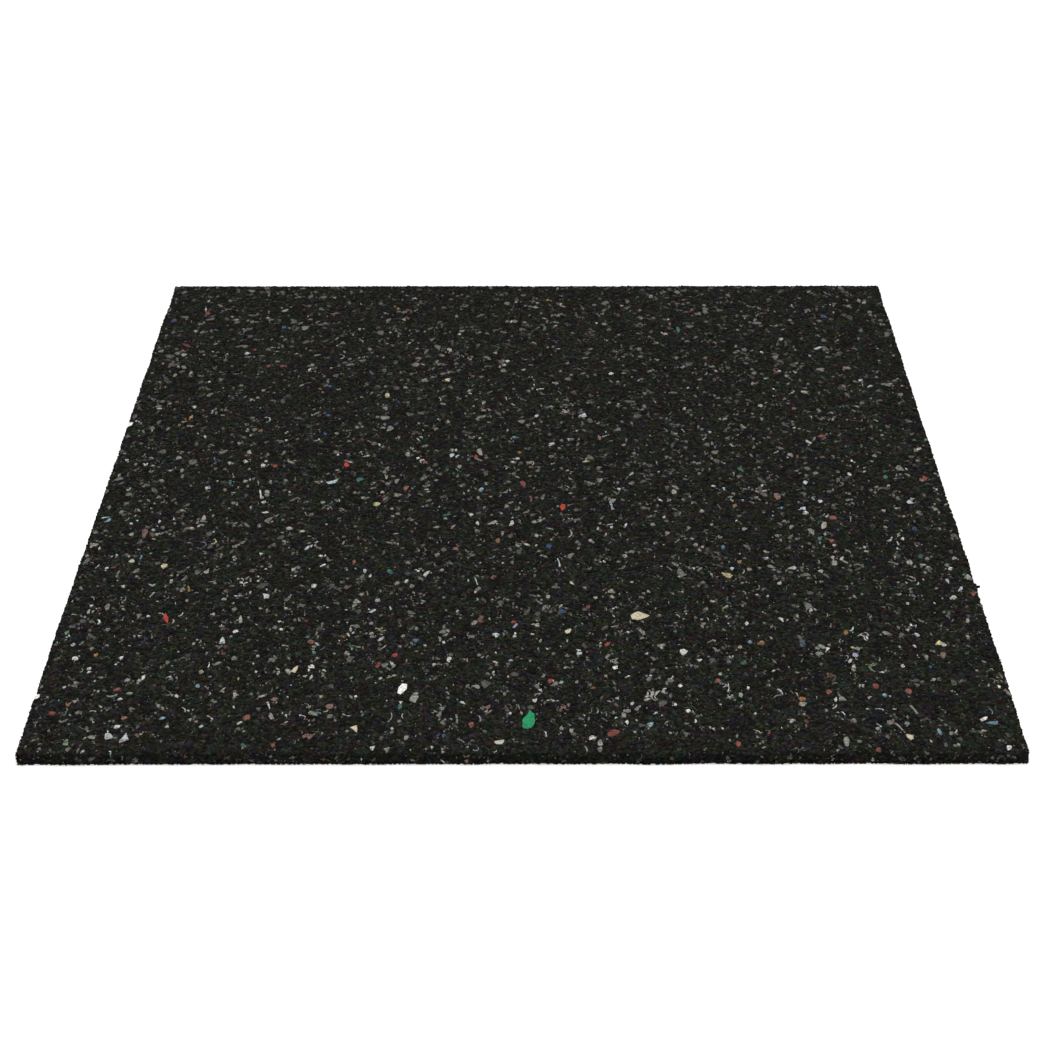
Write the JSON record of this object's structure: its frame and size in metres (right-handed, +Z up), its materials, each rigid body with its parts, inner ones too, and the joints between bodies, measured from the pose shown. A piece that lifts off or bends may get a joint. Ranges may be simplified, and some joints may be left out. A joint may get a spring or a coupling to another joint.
{
  "type": "rubber mat",
  "caption": "Flat square mat of black bonded rubber granulate speckled with coloured crumb, for standing things on or laying edge to edge.",
  "frame": {"origin": "middle of the mat's underside", "axes": "+Z up out of the top face, +X along the front edge towards the right, +Y from the front edge to the back edge"},
  "size_m": [0.6, 0.6, 0.0085],
  "materials": {
    "crumb_rubber": "matt black pressed rubber crumb with white, grey, red-brown, cream, green and blue flecks"
  },
  "bodies": {
    "root": {"rubber_mat": "crumb_rubber"}
  },
  "joints": []
}
